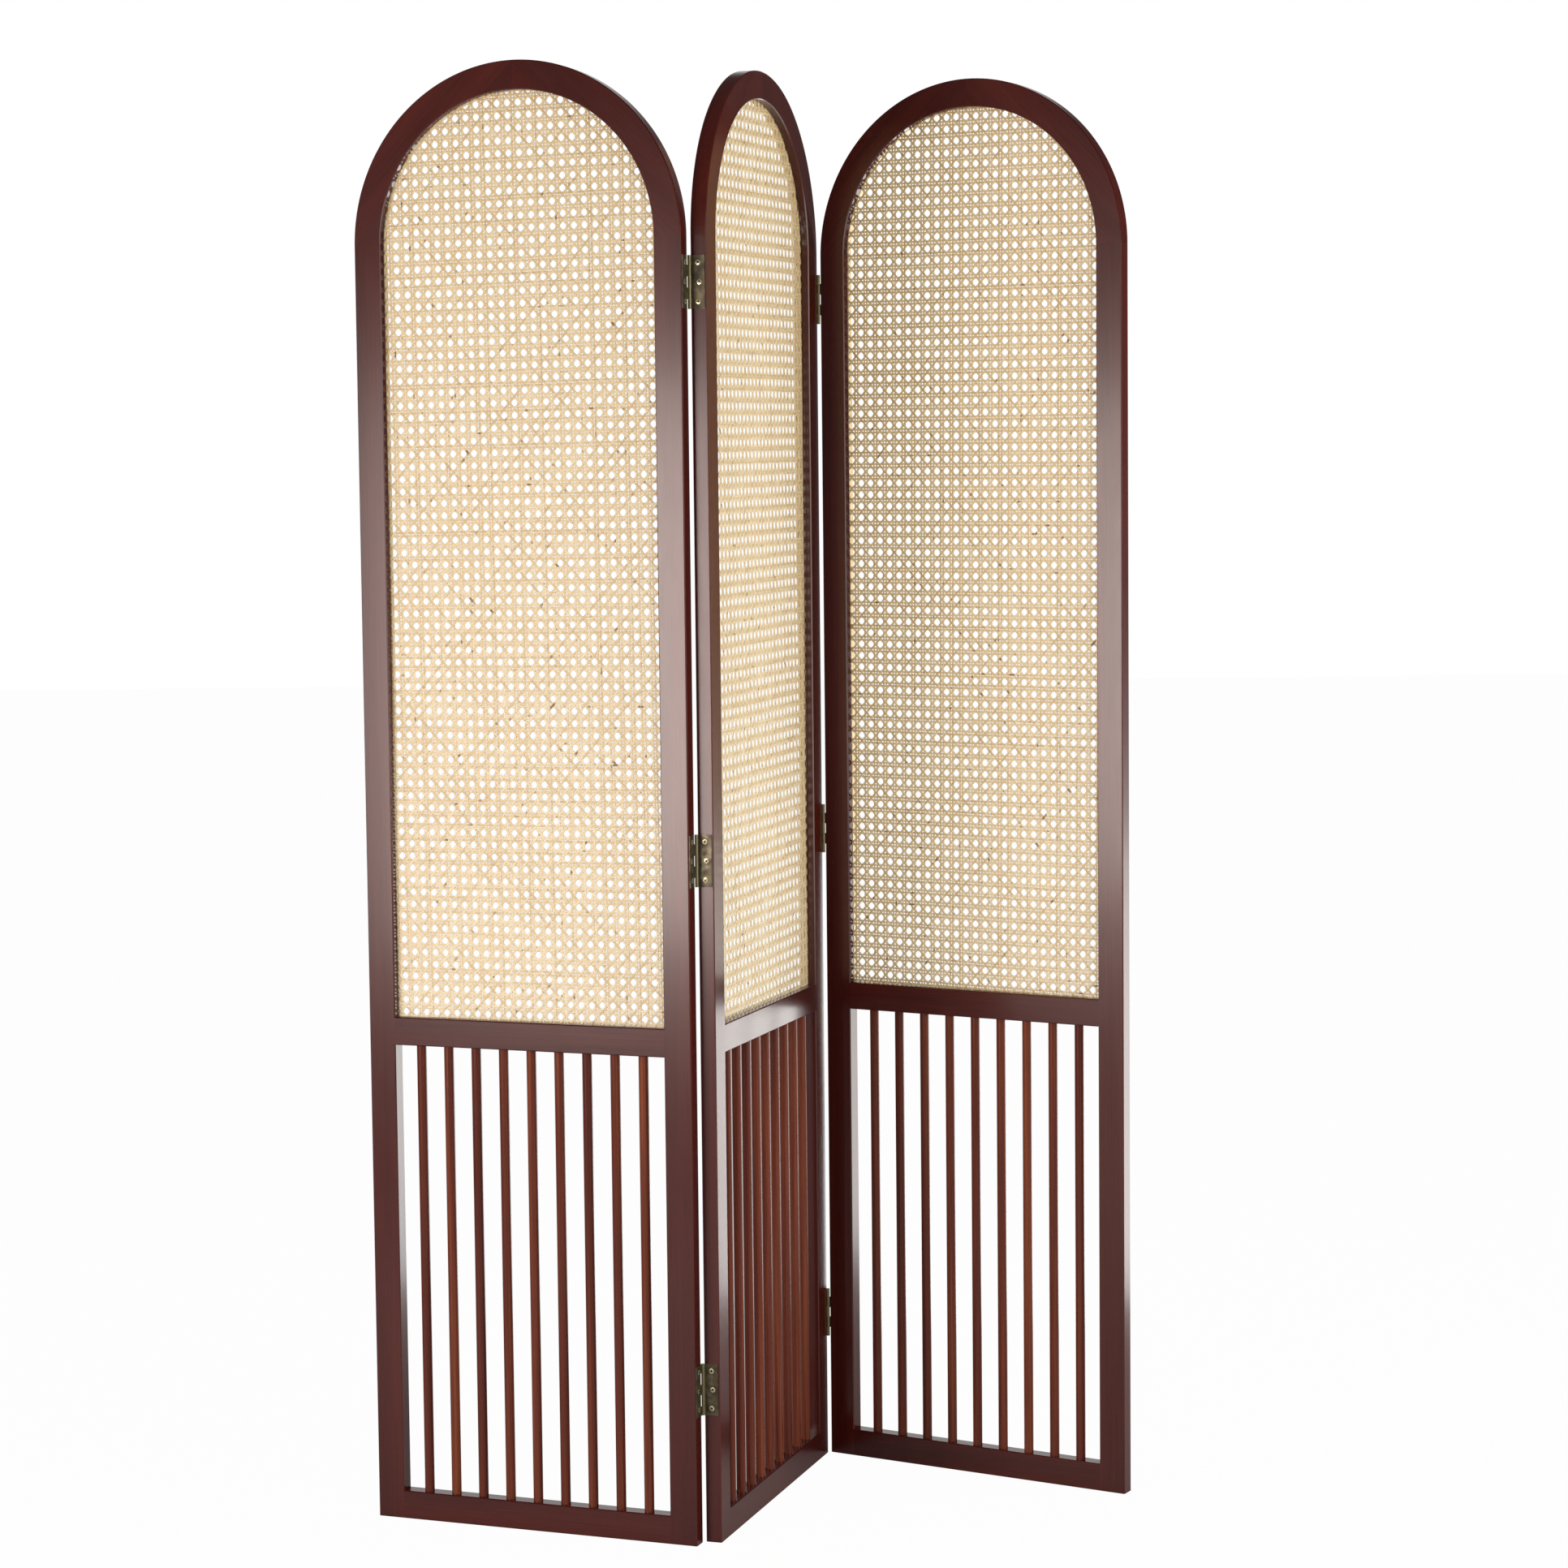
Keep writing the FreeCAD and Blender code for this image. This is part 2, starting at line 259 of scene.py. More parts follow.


# %% [markdown]
# ## Lacquered wood
# The frames are stained a deep mahogany red and sprayed with satin lacquer. The grain runs along each
# member: upright in the stiles, level in the rails, and along the chord in the quarter-round arch pieces,
# which are sawn from straight boards. A Mapping node turns the grain to each member, and stretched noise
# draws broad figure, fibres and pores. The lacquer is a smooth coat over them, so the bump stays faint. The
# spindles are round and slim, and are painted lighter and more orange than the frame: partly their stain,
# partly painted light for the warm light that falls on them.

# %% Wood finish
figure_scale = (26.0, 26.0, 1.2)
fibre_scale = (520.0, 520.0, 6.0)
pore_scale = (1600.0, 1600.0, 30.0)
ripple_scale = (160.0, 160.0, 20.0)
fibre_share, figure_share = 0.35, 0.65
grain_places = (0.36, 0.5, 0.64)
pore_low, pore_high, pore_darkness = 0.34, 0.42, 0.86
coat_roughness = 0.12


def lacquered_wood(name, turn, lean, tones, gloss, shine=0.5, coat=0.15):
    """Stained and lacquered wood whose grain runs along Z after the turn about Z and the lean about Y."""
    material, tree, shader = new_finish(name)
    place = out(tree, "ShaderNodeTexCoord", output="Object")
    place = out(tree, "ShaderNodeMapping", {"Vector": place, "Rotation": (0, 0, turn)})
    place = out(tree, "ShaderNodeMapping", {"Vector": place, "Rotation": (0, lean, 0)})
    figure = noise(tree, place, figure_scale, detail=2.0)
    fibres = noise(tree, place, fibre_scale, detail=3.0)
    pores = noise(tree, place, pore_scale, detail=1.0)
    ripple = noise(tree, place, ripple_scale, detail=2.0)
    grain = calc(tree, "MULTIPLY_ADD", fibres, fibre_share, calc(tree, "MULTIPLY", figure, figure_share))
    colour = ramp(tree, grain, grain_places, tones)
    dimming = spread(tree, pores, pore_low, pore_high, pore_darkness, 1.0)
    tree.links.new(blend(tree, 1.0, colour, dimming, "MULTIPLY"), shader.inputs["Base Color"])
    roughness = spread(tree, ripple, noise_low, noise_high, gloss - 0.01, gloss + 0.015)
    tree.links.new(roughness, shader.inputs["Roughness"])
    relief(tree, shader, fibres, strength=0.01, depth=0.0001)
    shader.inputs["Specular IOR Level"].default_value = shine
    shader.inputs["Coat Weight"].default_value = coat
    shader.inputs["Coat Roughness"].default_value = coat_roughness
    return material


mahogany_tones = ((0.044, 0.0036, 0.0020), (0.060, 0.0056, 0.0030), (0.078, 0.0086, 0.0046))
# The spindle tones are lighter and more orange partly from their stain and partly as painted light for the
# warm light on them.
spindle_stain_and_light_tones = ((0.076, 0.0110, 0.0048), (0.120, 0.0210, 0.0080), (0.210, 0.0490, 0.0165))
print("wood tones:", mahogany_tones[1], "spindles:", spindle_stain_and_light_tones[1])


# %% [markdown]
# ## Where each panel stands
# The panels stand in a zigzag, so each has its own direction. The CAD cane sheet is a flat slab, and the
# widest spread of its corners in plan gives the panel's run. The bead behind it tells the rear from the
# front.

# %% Panel frames
def corners_of(node):
    """The corners of a CAD node's mesh, one row each."""
    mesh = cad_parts[node].data
    flat = np.empty(len(mesh.vertices) * 3)
    mesh.vertices.foreach_get("co", flat)
    return flat.reshape(-1, 3)


def panel_matrix(panel):
    """A panel's frame on its cane sheet, from the sheet's middle: X along, Y up and Z out of the front."""
    sheet = corners_of(f"{panel}_panel_cane")
    bead = corners_of(f"{panel}_panel_cane_bead")
    plan = sheet[:, :2] - sheet[:, :2].mean(0)
    run = np.linalg.eigh(plan.T @ plan)[1][:, -1]
    rear = np.array((-run[1], run[0]))
    if (bead[:, :2].mean(0) - sheet[:, :2].mean(0)) @ rear < 0:
        run, rear = -run, -rear
    axes = np.array(((*run, 0.0), (0.0, 0.0, 1.0), (*-rear, 0.0)))
    spans = sheet @ axes.T
    middle = (spans.min(0) + spans.max(0)) / 2 @ axes
    return Matrix.Translation(middle) @ Matrix(axes.tolist()).transposed().to_4x4()


stands = {panel: panel_matrix(panel) for panel in panels}
turns = {panel: math.atan2(stands[panel][1][0], stands[panel][0][0]) for panel in panels}
sheet_spans = np.ptp(corners_of("left_panel_cane") @ np.array(stands["left"])[:3, :3], axis=0)
sheet_width, sheet_height = float(sheet_spans[0]), float(sheet_spans[1])
print("panel turns:", {p: round(math.degrees(a), 2) for p, a in turns.items()})
print("cane sheet", round(sheet_width, 4), "by", round(sheet_height, 4), "m")

# %% Dress the frames
frame_gloss = 0.25
spindle_gloss, spindle_shine, spindle_coat = 0.26, 0.36, 0.05


def dress(node, material):
    """Give a CAD node its finish."""
    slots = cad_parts[node].data.materials
    slots.clear()
    slots.append(material)


leans = {"rail": math.radians(-90), "left_arch": math.radians(-45), "right_arch": math.radians(45)}
members = {"rail": ("bottom_rail", "middle_rail"), "left_arch": ("left_arch",), "right_arch": ("right_arch",)}
upright_wood = lacquered_wood("mahogany_upright", turn=0.0, lean=0.0, tones=mahogany_tones, gloss=frame_gloss)
spindle_wood = lacquered_wood("mahogany_spindles", turn=0.0, lean=0.0, tones=spindle_stain_and_light_tones,
                              gloss=spindle_gloss, shine=spindle_shine, coat=spindle_coat)
for panel in panels:
    for stile in ("left_stile", "right_stile"):
        dress(f"{panel}_panel_{stile}", upright_wood)
    dress(f"{panel}_panel_spindles", spindle_wood)
    for kind, names in members.items():
        wood_name = f"mahogany_{panel}_{kind}"
        wood = lacquered_wood(wood_name, -turns[panel], leans[kind], mahogany_tones, frame_gloss)
        for member in names:
            dress(f"{panel}_panel_{member}", wood)
print("wood finishes:", len([m for m in bpy.data.materials if m.name.startswith("mahogany")]))

# %% [markdown]
# ## Bare wood and rattan
# The loose tenons in the arch joints are bare hardwood. The bead that holds the cane is a natural rattan
# strip, tan, with long fibres and a few brown flecks. It runs round the opening, so its fibres are drawn
# fine enough to read as streaks from either direction.

# %% Bead and tenons
streak_places = (0.34, 0.5, 0.66)


def natural_fibre(name, scale, tones, roughness):
    """Bare plant fibre: streaks between three tones, and a faint relief."""
    material, tree, shader = new_finish(name)
    streaks = noise(tree, out(tree, "ShaderNodeTexCoord", output="Object"), scale, detail=4.0)
    tree.links.new(ramp(tree, streaks, streak_places, tones), shader.inputs["Base Color"])
    dulling = spread(tree, streaks, noise_low, noise_high, roughness + 0.1, roughness - 0.05)
    tree.links.new(dulling, shader.inputs["Roughness"])
    relief(tree, shader, streaks, strength=0.25, depth=0.0003)
    return material


bead_tones = ((0.58, 0.42, 0.22), (0.78, 0.62, 0.37), (0.87, 0.73, 0.48))
tenon_tones = ((0.40, 0.25, 0.13), (0.52, 0.35, 0.20), (0.60, 0.43, 0.26))
rattan_bead = natural_fibre("natural_rattan_strip", scale=(300.0, 300.0, 60.0), tones=bead_tones,
                            roughness=0.45)
bare_hardwood = natural_fibre("bare_hardwood", scale=(200.0, 200.0, 20.0), tones=tenon_tones,
                              roughness=0.6)
for panel in panels:
    dress(f"{panel}_panel_cane_bead", rattan_bead)
    dress(f"{panel}_panel_loose_tenons", bare_hardwood)
print("beads and tenons dressed on", len(panels), "panels")

# %% [markdown]
# ## Hinge metal
# The butt hinges are brass with a dark, cloudy antique bronze finish. The barrels get a painted highlight, a
# brighter tone near the pins: the finish measures each point's distance in plan from the pins. The pins are
# plain bronzed steel, and the screws are a clearer yellow brass with painted shade in their recesses.

# %% Metal finishes
brushing_scale = (2500.0, 2500.0, 90.0)
brushing_share, cloud_share = 0.15, 0.85
patina_places = (0.38, 0.52, 0.66)
# The barrels' brighter tone near the pins is a painted highlight.
barrel_highlight_tone = (0.280, 0.230, 0.115)
highlight_full, highlight_end, highlight_strength = 0.0022, 0.0032, 0.8
patina_low, patina_high = 0.35, 0.65


def patinated_metal(name, tones, roughness, cloud, bareness, axes=()):
    """Patinated metal: cloudy tones, fine brushing, and a painted highlight, a brighter tone near an axis."""
    material, tree, shader = new_finish(name)
    place = out(tree, "ShaderNodeTexCoord", output="Object")
    clouds = noise(tree, place, (cloud, cloud, cloud), detail=2.5)
    brushing = noise(tree, place, brushing_scale, detail=2.0)
    clouding = calc(tree, "MULTIPLY", clouds, cloud_share)
    patina = calc(tree, "MULTIPLY_ADD", brushing, brushing_share, clouding)
    colour = ramp(tree, patina, patina_places, tones)
    # A painted highlight: the tone is brighter near the pin axes.
    if axes:
        plan = out(tree, "ShaderNodeVectorMath", {0: place, 1: (1.0, 1.0, 0.0)}, operation="MULTIPLY")
        reaches = [out(tree, "ShaderNodeVectorMath", {0: plan, 1: axis}, "Value", operation="DISTANCE")
                   for axis in axes]
        nearest = calc(tree, "MINIMUM", *reaches)
        barrel_highlight = spread(tree, nearest, highlight_full, highlight_end, highlight_strength, 0.0)
        colour = blend(tree, barrel_highlight, colour, (*barrel_highlight_tone, 1.0))
    tree.links.new(colour, shader.inputs["Base Color"])
    dulling = spread(tree, patina, patina_low, patina_high, roughness + 0.1, roughness - 0.1)
    tree.links.new(dulling, shader.inputs["Roughness"])
    relief(tree, shader, brushing, strength=0.04, depth=0.0001)
    shader.inputs["Metallic"].default_value = bareness
    return material


bronze_tones = ((0.044, 0.037, 0.022), (0.078, 0.067, 0.039), (0.140, 0.120, 0.070))
brass_tones = ((0.520, 0.440, 0.260), (0.720, 0.630, 0.410), (0.860, 0.780, 0.560))
steel_tones = ((0.100, 0.080, 0.055), (0.180, 0.150, 0.110), (0.280, 0.240, 0.180))
# The recess tones are painted shade for the dark inside of the cross slots.
recess_shade_tones = ((0.010, 0.007, 0.005), (0.018, 0.013, 0.009), (0.032, 0.024, 0.016))
pins = [corners_of(f"{fold}_fold_top_hinge_pin") for fold in ("left", "right")]
pin_axes = [(*((pin.min(0) + pin.max(0)) / 2)[:2].tolist(), 0.0) for pin in pins]
antique_bronze = patinated_metal("antique_bronze", bronze_tones, roughness=0.38, cloud=90.0, bareness=0.6,
                            axes=pin_axes)
screw_brass = patinated_metal("screw_brass", brass_tones, roughness=0.32, cloud=400.0, bareness=0.85)
pin_steel = patinated_metal("pin_steel", steel_tones, roughness=0.4, cloud=300.0, bareness=1.0)
# The dark recess finish is painted shade in the screw slots.
screw_recess_shade = patinated_metal("screw_recess_shade", recess_shade_tones, roughness=0.6, cloud=400.0, bareness=0.3)
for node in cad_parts:
    if "_hinge_leaf_" in node:
        dress(node, antique_bronze)
    elif node.endswith("_hinge_pin"):
        dress(node, pin_steel)
    elif node.endswith("_hinge_screws"):
        dress(node, screw_brass)
print("hinge leaves dressed:", len([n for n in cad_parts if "_hinge_leaf_" in n]))

# %% [markdown]
# ## Cane colour
# A cane strand is the glossy skin of the rattan stem: straw yellow, with its own tone along each strand and
# now and then a brown streak. The colour is also made deeper and warmer towards the top. The weave stores
# two attributes for this on its points: `tone`, a random number for each strand, and `along`, the distance
# along it.

# %% Cane finish
straw_tones = ((0.67, 0.500, 0.265), (0.85, 0.700, 0.440), (0.93, 0.825, 0.600))
straw_places = (0.2, 0.5, 0.8)
streak_brown = (0.30, 0.18, 0.08)
# The cane is made darker and warmer towards the top.
top_deepening_tones = ((1.0, 1.0, 1.0), (0.885, 0.840, 0.745))
deepening_starts, deepening_full = 0.65, 1.75
strand_offset = 97.0
blotch_scale = (1.0, 14.0, 1.0)
fleck_scale = (7.0, 60.0, 1.0)
fleck_starts, fleck_full = 0.65, 0.73
tone_share, blotch_share = 0.35, 0.65
skin_scale = (1800.0, 1800.0, 1800.0)
skin_smooth, skin_dull, skin_shine = 0.38, 0.52, 0.4

cane, tree, shader = new_finish("woven_cane")
tone = out(tree, "ShaderNodeAttribute", output="Fac", attribute_name="tone")
along = out(tree, "ShaderNodeAttribute", output="Fac", attribute_name="along")
strand_place = point(tree, calc(tree, "MULTIPLY", tone, strand_offset), along)
blotches = noise(tree, strand_place, blotch_scale, detail=3.0)
flecks = noise(tree, strand_place, fleck_scale, detail=2.0)
mixture = calc(tree, "MULTIPLY_ADD", tone, tone_share, calc(tree, "MULTIPLY", blotches, blotch_share))
straw = ramp(tree, mixture, straw_places, straw_tones)
browning = spread(tree, flecks, fleck_starts, fleck_full, 0.0, 1.0)
stained = blend(tree, browning, straw, (*streak_brown, 1.0))
in_place = out(tree, "ShaderNodeTexCoord", output="Object")
height_share = spread(tree, parts(tree, in_place)["Z"], deepening_starts, deepening_full, 0.0, 1.0)
top_deepening = ramp(tree, height_share, (0.0, 1.0), top_deepening_tones)
tree.links.new(blend(tree, 1.0, stained, top_deepening, "MULTIPLY"), shader.inputs["Base Color"])
dulling = spread(tree, blotches, noise_low, noise_high, skin_smooth, skin_dull)
tree.links.new(dulling, shader.inputs["Roughness"])
skin = noise(tree, in_place, skin_scale, detail=2.0)
relief(tree, shader, skin, strength=0.15, depth=0.0002)
shader.inputs["Specular IOR Level"].default_value = skin_shine
print("cane tones:", straw_tones[1], "at the foot,", top_deepening_tones[1], "of that at the top")

# %% [markdown]
# ## The cane weave
# Cane webbing has six sets of strands: upright pairs, level pairs, and single strands on both diagonals.
# The pairs interlace where they cross, and the diagonals ride over one set and under the other, which
# leaves the eight-sided holes. Each set follows a rule, so Geometry Nodes draw it: a line is resampled,
# copied once for each strand, and every point is placed by its strand number and its step. Points outside
# the arched sheet are deleted, and a lens-shaped profile is swept along what is left. Towards the rim the
# weave is pressed flatter, as it is where the bead holds it.

# %% Weave sizes
pitch_across = 0.01393
pitch_up = 0.01497
pair_spacing = 0.0039
strand_width = 0.0023
diagonal_width = 0.0027
strand_thickness = 0.0007
profile_sides = 6
pair_lift = 0.0003
diagonal_lift = 0.00045
strand_wander = 0.00035
wander_per_strand, wander_per_step, wander_gain = 3.7, 0.09, 4.0
rim_width = 0.008
rim_ease = 0.005
rim_thinning = 0.7
pair_steps = 3
diagonal_steps = 4
weave_turns = {"left": math.radians(0.5), "middle": math.radians(1.0), "right": math.radians(-0.4)}
weave_shifts = {"left": (0.0, 0.0041), "middle": (0.0, 0.0), "right": (-0.0027, 0.0075)}
spare_strands = 4
columns = math.ceil(sheet_width / pitch_across) + spare_strands
rows = math.ceil(sheet_height / pitch_up) + spare_strands
print("weave:", columns, "columns and", rows, "rows of holes")


# %% Parts of the weave trees
def named_tree(name, inputs):
    """A Geometry Nodes tree with named inputs, and the outputs of its group input node."""
    tree = bpy.data.node_groups.new(name, "GeometryNodeTree")
    tree.interface.new_socket("Geometry", in_out="OUTPUT", socket_type="NodeSocketGeometry")
    tree.interface.new_socket("Geometry", in_out="INPUT", socket_type="NodeSocketGeometry")
    for label, kind in inputs.items():
        tree.interface.new_socket(label, in_out="INPUT", socket_type=f"NodeSocket{kind}")
    return tree, tree.nodes.new("NodeGroupInput").outputs


def centred(tree, index, count):
    """A number counted from the middle of a row of so many."""
    return calc(tree, "SUBTRACT", index, calc(tree, "FLOOR", calc(tree, "DIVIDE", count, 2.0)))


def copied_strands(tree, given):
    """One line of points for each strand, with the strand's number and each point's step along it."""
    line = out(tree, "GeometryNodeCurvePrimitiveLine", {"End": (0.0, 1.0, 0.0)})
    points = out(tree, "GeometryNodeResampleCurve", {"Curve": line, "Count": given["Steps"]})
    inputs = {"Geometry": points, "Amount": given["Strands"]}
    copies = add(tree, "GeometryNodeDuplicateElements", inputs, domain="SPLINE")
    step = out(tree, "GeometryNodeSplineParameter", output="Index")
    return copies.outputs["Geometry"], copies.outputs["Duplicate Index"], step


def wandering(tree, given, number, step):
    """A slow sideways drift of a strand, as hand-fed strands never lie quite straight."""
    across = calc(tree, "MULTIPLY", number, wander_per_strand)
    along = calc(tree, "MULTIPLY", step, wander_per_step)
    inputs = {"Vector": point(tree, across, along, given["Seed"]), "Scale": 1.0, "Detail": 1.0}
    drift = calc(tree, "SUBTRACT", out(tree, "ShaderNodeTexNoise", inputs, "Fac"), 0.5)
    return calc(tree, "MULTIPLY", drift, calc(tree, "MULTIPLY", given["Wander"], wander_gain))


def inside_sheet(tree, given, strands):
    """Delete the points outside the arched sheet, and press the weave flatter towards its rim."""
    where = parts(tree, out(tree, "GeometryNodeInputPosition"))
    half_width = calc(tree, "MULTIPLY", given["Sheet width"], 0.5)
    half_height = calc(tree, "MULTIPLY", given["Sheet height"], 0.5)
    spring = calc(tree, "SUBTRACT", half_height, half_width)
    rise = calc(tree, "MAXIMUM", calc(tree, "SUBTRACT", where["Y"], spring), 0.0)
    sideways = calc(tree, "MULTIPLY", where["X"], where["X"])
    reach = calc(tree, "SQRT", calc(tree, "MULTIPLY_ADD", rise, rise, sideways))
    beside = calc(tree, "GREATER_THAN", reach, half_width)
    below = calc(tree, "LESS_THAN", where["Y"], calc(tree, "MULTIPLY", half_height, -1.0))
    inputs = {"Geometry": strands, "Selection": calc(tree, "MAXIMUM", beside, below)}
    strands = out(tree, "GeometryNodeDeleteGeometry", inputs)
    from_side = calc(tree, "SUBTRACT", half_width, reach)
    from_foot = calc(tree, "ADD", where["Y"], half_height)
    inwards = calc(tree, "MINIMUM", from_side, from_foot)
    pressed = spread(tree, inwards, rim_width, rim_width + rim_ease, rim_thinning, 1.0)
    flattened = point(tree, where["X"], where["Y"], calc(tree, "MULTIPLY", where["Z"], pressed))
    return out(tree, "GeometryNodeSetPosition", {"Geometry": strands, "Position": flattened})


def kept_on(tree, geometry, name, value, domain):
    """Store a number on the strands, under a name that the finish reads."""
    inputs = {"Geometry": geometry, "Name": name, "Value": value}
    return out(tree, "GeometryNodeStoreNamedAttribute", inputs, data_type="FLOAT", domain=domain)


def swept_strands(tree, given, strands, number, place):
    """Set the points, turn and clip them to the arched sheet, and sweep the strand's profile along them."""
    turn = {"Vector": place, "Angle": given["Turn"]}
    turned = out(tree, "ShaderNodeVectorRotate", turn, rotation_type="Z_AXIS")
    strands = out(tree, "GeometryNodeSetPosition", {"Geometry": strands, "Position": turned})
    strands = inside_sheet(tree, given, strands)
    tone = out(tree, "FunctionNodeRandomValue", {"ID": number, "Seed": given["Seed"]}, 1)
    strands = kept_on(tree, strands, "tone", tone, "CURVE")
    length = out(tree, "GeometryNodeSplineParameter", output="Length")
    strands = kept_on(tree, strands, "along", length, "POINT")
    strands = out(tree, "GeometryNodeSetCurveNormal", {"Curve": strands}, mode="Z_UP")
    circle = out(tree, "GeometryNodeCurvePrimitiveCircle", {"Resolution": profile_sides, "Radius": 0.5})
    lens = point(tree, given["Strand width"], given["Strand thickness"], 1.0)
    profile = out(tree, "GeometryNodeTransform", {"Geometry": circle, "Scale": lens})
    sweep = {"Curve": strands, "Profile Curve": profile, "Fill Caps": True}
    swept = out(tree, "GeometryNodeCurveToMesh", sweep)
    swept = out(tree, "GeometryNodeSetShadeSmooth", {"Geometry": swept})
    swept = out(tree, "GeometryNodeRealizeInstances", {"Geometry": swept})
    swept = out(tree, "GeometryNodeSetMaterial", {"Geometry": swept, "Material": given["Material"]})
    tree.links.new(swept, tree.nodes.new("NodeGroupOutput").inputs[0])


weave_counts = ("Strands", "Steps", "Seed")
weave_lengths = ("Pitch across", "Pitch along", "Shift across", "Shift along", "Lift", "Wander", "Turn",
                 "Strand width", "Strand thickness", "Sheet width", "Sheet height")
common_inputs = {**dict.fromkeys(weave_counts, "Int"), **dict.fromkeys(weave_lengths, "Float"),
                 "Material": "Material"}


# %% Paired strands
def paired_tree():
    """Upright or level pairs, three steps to a pitch: midway, then both crossings of the other pair."""
    own_inputs = {"Pair spacing": "Float", "Level": "Bool", "Over": "Float"}
    tree, given = named_tree("cane_pairs", {**common_inputs, **own_inputs})
    strands, number, step = copied_strands(tree, given)
    side = calc(tree, "MULTIPLY_ADD", calc(tree, "MODULO", number, 2.0), 2.0, -1.0)
    pair = calc(tree, "FLOOR", calc(tree, "DIVIDE", number, 2.0))
    column = centred(tree, pair, calc(tree, "DIVIDE", given["Strands"], 2.0))
    half_gap = calc(tree, "MULTIPLY", given["Pair spacing"], 0.5)
    across = calc(tree, "MULTIPLY_ADD", column, given["Pitch across"], given["Shift across"])
    across = calc(tree, "MULTIPLY_ADD", side, half_gap, across)
    across = calc(tree, "ADD", across, wandering(tree, given, number, step))
    pitch = calc(tree, "FLOOR", calc(tree, "DIVIDE", step, pair_steps))
    row = centred(tree, pitch, calc(tree, "DIVIDE", given["Steps"], pair_steps))
    beat = calc(tree, "MODULO", step, pair_steps)
    crossing = calc(tree, "GREATER_THAN", beat, 0.5)
    crossing_side = calc(tree, "MULTIPLY", crossing, calc(tree, "MULTIPLY_ADD", beat, 2.0, -3.0))
    midway = calc(tree, "MULTIPLY", calc(tree, "SUBTRACT", 1.0, crossing), -0.5)
    row = calc(tree, "ADD", row, midway)
    along = calc(tree, "MULTIPLY_ADD", row, given["Pitch along"], given["Shift along"])
    along = calc(tree, "MULTIPLY_ADD", crossing_side, half_gap, along)
    bend = calc(tree, "MULTIPLY", side, crossing_side)
    height = calc(tree, "MULTIPLY", bend, calc(tree, "MULTIPLY", given["Lift"], given["Over"]))
    choice = {"Switch": given["Level"], "False": point(tree, across, along, height),
              "True": point(tree, along, across, height)}
    place = out(tree, "GeometryNodeSwitch", choice, input_type="VECTOR")
    swept_strands(tree, given, strands, number, place)
    return tree


# %% Diagonal strands
def diagonal_tree():
    """Single strands on one diagonal, four steps to a pitch, over the level and under the upright pairs."""
    tree, given = named_tree("cane_diagonals", {**common_inputs, "Slope": "Float"})
    strands, number, step = copied_strands(tree, given)
    row = calc(tree, "DIVIDE", centred(tree, step, given["Steps"]), diagonal_steps)
    line = calc(tree, "ADD", centred(tree, number, given["Strands"]), 0.5)
    column = calc(tree, "MULTIPLY_ADD", row, given["Slope"], line)
    across = calc(tree, "MULTIPLY_ADD", column, given["Pitch across"], given["Shift across"])
    across = calc(tree, "ADD", across, wandering(tree, given, number, step))
    along = calc(tree, "MULTIPLY_ADD", row, given["Pitch along"], given["Shift along"])
    wave = calc(tree, "COSINE", calc(tree, "MULTIPLY", row, math.tau))
    height = calc(tree, "MULTIPLY", wave, calc(tree, "MULTIPLY", given["Lift"], given["Slope"]))
    swept_strands(tree, given, strands, number, point(tree, across, along, height))
    return tree


pairs, diagonals = paired_tree(), diagonal_tree()
print("trees:", [t.name for t in bpy.data.node_groups])


# %% Grow the strands
def grown(name, tree, values, seed_mesh=None):
    """A plain mesh object made by a tree, with the tree's inputs set by their sockets' identifiers."""
    seed_mesh = seed_mesh or bpy.data.meshes.new(f"{name}_seed")
    grower = bpy.data.objects.new(f"{name}_grower", seed_mesh)
    bpy.context.scene.collection.objects.link(grower)
    modifier = grower.modifiers.new(name, "NODES")
    modifier.node_group = tree
    for item in tree.interface.items_tree:
        if item.in_out == "INPUT" and item.name in values:
            modifier[item.identifier] = values[item.name]
    evaluated = grower.evaluated_get(bpy.context.evaluated_depsgraph_get())
    mesh = bpy.data.meshes.new_from_object(evaluated)
    mesh.name = name
    bpy.data.objects.remove(grower)
    bpy.data.meshes.remove(seed_mesh)
    piece = bpy.data.objects.new(name, mesh)
    bpy.context.scene.collection.objects.link(piece)
    return piece


def triangles(piece):
    """How many triangles a piece has."""
    return sum(len(face.vertices) - 2 for face in piece.data.polygons)


def strand_sets(panel):
    """The four pieces of a panel's weave, each with its tree and the values of the tree's inputs."""
    shift_across, shift_up = weave_shifts[panel]
    shared = {"Strand width": strand_width, "Strand thickness": strand_thickness, "Wander": strand_wander,
              "Sheet width": sheet_width, "Sheet height": sheet_height, "Turn": weave_turns[panel],
              "Pair spacing": pair_spacing, "Lift": pair_lift, "Material": cane}
    standing = {**shared, "Pitch across": pitch_across, "Pitch along": pitch_up,
                "Shift across": shift_across, "Shift along": shift_up}
    lying = {**shared, "Pitch across": pitch_up, "Pitch along": pitch_across,
             "Shift across": shift_up, "Shift along": shift_across}
    upright = {"Strands": 2 * columns, "Steps": pair_steps * rows, "Level": False, "Over": -1.0}
    level = {"Strands": 2 * rows, "Steps": pair_steps * columns, "Level": True, "Over": 1.0}
    slanted = {**standing, "Strand width": diagonal_width, "Lift": diagonal_lift,
               "Strands": columns + rows, "Steps": diagonal_steps * rows}
    return {
        "upright_strands": (pairs, {**standing, **upright}),
        "level_strands": (pairs, {**lying, **level}),
        "rising_strands": (diagonals, {**slanted, "Slope": 1.0}),
        "falling_strands": (diagonals, {**slanted, "Slope": -1.0}),
    }


